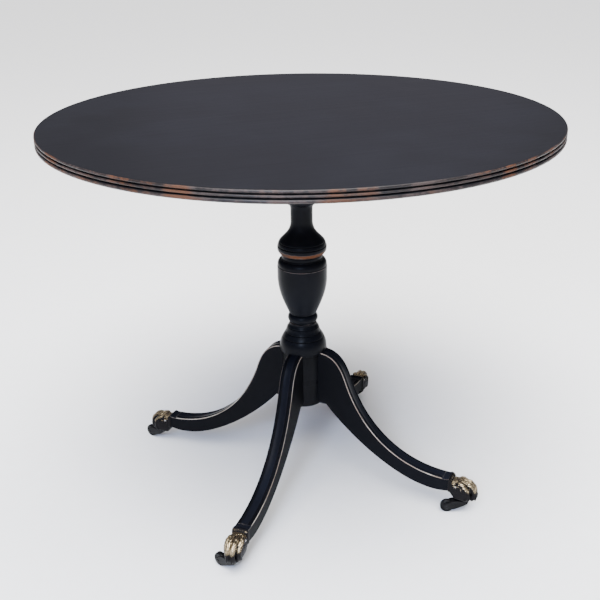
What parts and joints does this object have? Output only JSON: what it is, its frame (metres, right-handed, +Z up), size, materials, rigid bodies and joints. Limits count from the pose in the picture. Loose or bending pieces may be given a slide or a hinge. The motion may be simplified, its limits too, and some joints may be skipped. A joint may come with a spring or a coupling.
{
  "type": "pedestal table",
  "caption": "Round tilt-top pedestal table: reeded edge, turned column, splayed legs in brass paw caps on swivel castors.",
  "frame": {"origin": "on the floor, under the axis of the column and at the bottom of the wheels", "axes": "+Z up; the legs stand on the diagonals, the front two turned 1.6 degrees towards the front; the top tilts about an axis along X, its -Y edge going down"},
  "size_m": [0.914, 0.914, 0.737],
  "materials": {
    "painted_top": "satin near-black paint, softly blotched and rubbed with wax",
    "painted_edge": "near-black paint rubbed through to red-brown wood on the reeds",
    "painted_column": "near-black satin paint rubbed through on the crests of the turnings",
    "painted_legs": "near-black satin paint rubbed pale along the beads",
    "bearer_wood": "oiled brown hardwood",
    "pale_wood": "bare beech",
    "paw_brass": "aged brass, dark in the hollows and on the sides, rubbed bright on the toes",
    "catch_brass": "dull brass",
    "pivot_steel": "plain steel",
    "steel_screws": "dull steel",
    "castor_steel": "dull steel",
    "brace_iron": "black painted iron",
    "castor_black": "gloss black paint",
    "wheel_black": "gloss black paint"
  },
  "bodies": {
    "pedestal": {"column": "painted_column", "tilt_block": "bearer_wood", "tenon_wedge": "pale_wood", "pivot_pin_left": "pivot_steel", "pivot_pin_right": "pivot_steel", "strike_plate": "catch_brass", "strike_screws": "steel_screws", "leg_dowels": "pale_wood", "leg_front_left": "painted_legs", "leg_front_right": "painted_legs", "leg_back_right": "painted_legs", "leg_back_left": "painted_legs", "leg_brace": "brace_iron", "brace_screws": "steel_screws", "paw_cap_front_left": "paw_brass", "paw_cap_front_right": "paw_brass", "paw_cap_back_right": "paw_brass", "paw_cap_back_left": "paw_brass", "paw_screws": "steel_screws"},
    "table_top": {"top_board": "painted_top", "reeded_edge_band": "painted_edge", "bearer_left": "bearer_wood", "bearer_right": "bearer_wood", "bearer_screws": "steel_screws", "catch_case": "catch_brass", "catch_screws": "steel_screws"},
    "catch_slide": {"catch_bolt": "catch_brass"},
    "castor_front_left": {"castor_fork_front_left": "castor_black", "castor_spindle_front_left": "castor_steel", "castor_axle_front_left": "castor_steel"},
    "wheel_front_left": {"castor_wheel_front_left": "wheel_black"},
    "castor_front_right": {"castor_fork_front_right": "castor_black", "castor_spindle_front_right": "castor_steel", "castor_axle_front_right": "castor_steel"},
    "wheel_front_right": {"castor_wheel_front_right": "wheel_black"},
    "castor_back_right": {"castor_fork_back_right": "castor_black", "castor_spindle_back_right": "castor_steel", "castor_axle_back_right": "castor_steel"},
    "wheel_back_right": {"castor_wheel_back_right": "wheel_black"},
    "castor_back_left": {"castor_fork_back_left": "castor_black", "castor_spindle_back_left": "castor_steel", "castor_axle_back_left": "castor_steel"},
    "wheel_back_left": {"castor_wheel_back_left": "wheel_black"}
  },
  "joints": [
    {"name": "top_tilt", "type": "hinge", "parent": "pedestal", "child": "table_top", "pos_m": [0, -0.0763, 0.703], "axis": [1, 0, 0], "range_deg": [0, 90]},
    {"name": "catch_slide_in", "type": "slide", "parent": "table_top", "child": "catch_slide", "axis": [0, -1, 0], "range_m": [0, 0.009]},
    {"name": "castor_swivel_front_left", "type": "hinge", "parent": "pedestal", "child": "castor_front_left", "pos_m": [-0.23155, -0.24486, 0.03], "axis": [0, 0, 1], "continuous": true},
    {"name": "castor_roll_front_left", "type": "hinge", "parent": "castor_front_left", "child": "wheel_front_left", "pos_m": [-0.24782, -0.215, 0.013], "axis": [-0.878, -0.4787, 0], "continuous": true},
    {"name": "castor_swivel_front_right", "type": "hinge", "parent": "pedestal", "child": "castor_front_right", "pos_m": [0.23155, -0.24486, 0.03], "axis": [0, 0, 1], "continuous": true},
    {"name": "castor_roll_front_right", "type": "hinge", "parent": "castor_front_right", "child": "wheel_front_right", "pos_m": [0.20089, -0.23017, 0.013], "axis": [-0.4321, -0.9018, 0], "continuous": true},
    {"name": "castor_swivel_back_right", "type": "hinge", "parent": "pedestal", "child": "castor_back_right", "pos_m": [0.2383, 0.2383, 0.03], "axis": [0, 0, 1], "continuous": true},
    {"name": "castor_roll_back_right", "type": "hinge", "parent": "castor_back_right", "child": "wheel_back_right", "pos_m": [0.20481, 0.2442, 0.013], "axis": [-0.1736, -0.9848, 0], "continuous": true},
    {"name": "castor_swivel_back_left", "type": "hinge", "parent": "pedestal", "child": "castor_back_left", "pos_m": [-0.2383, 0.2383, 0.03], "axis": [0, 0, 1], "continuous": true},
    {"name": "castor_roll_back_left", "type": "hinge", "parent": "castor_back_left", "child": "wheel_back_left", "pos_m": [-0.25581, 0.26744, 0.013], "axis": [-0.8572, -0.515, 0], "continuous": true}
  ]
}
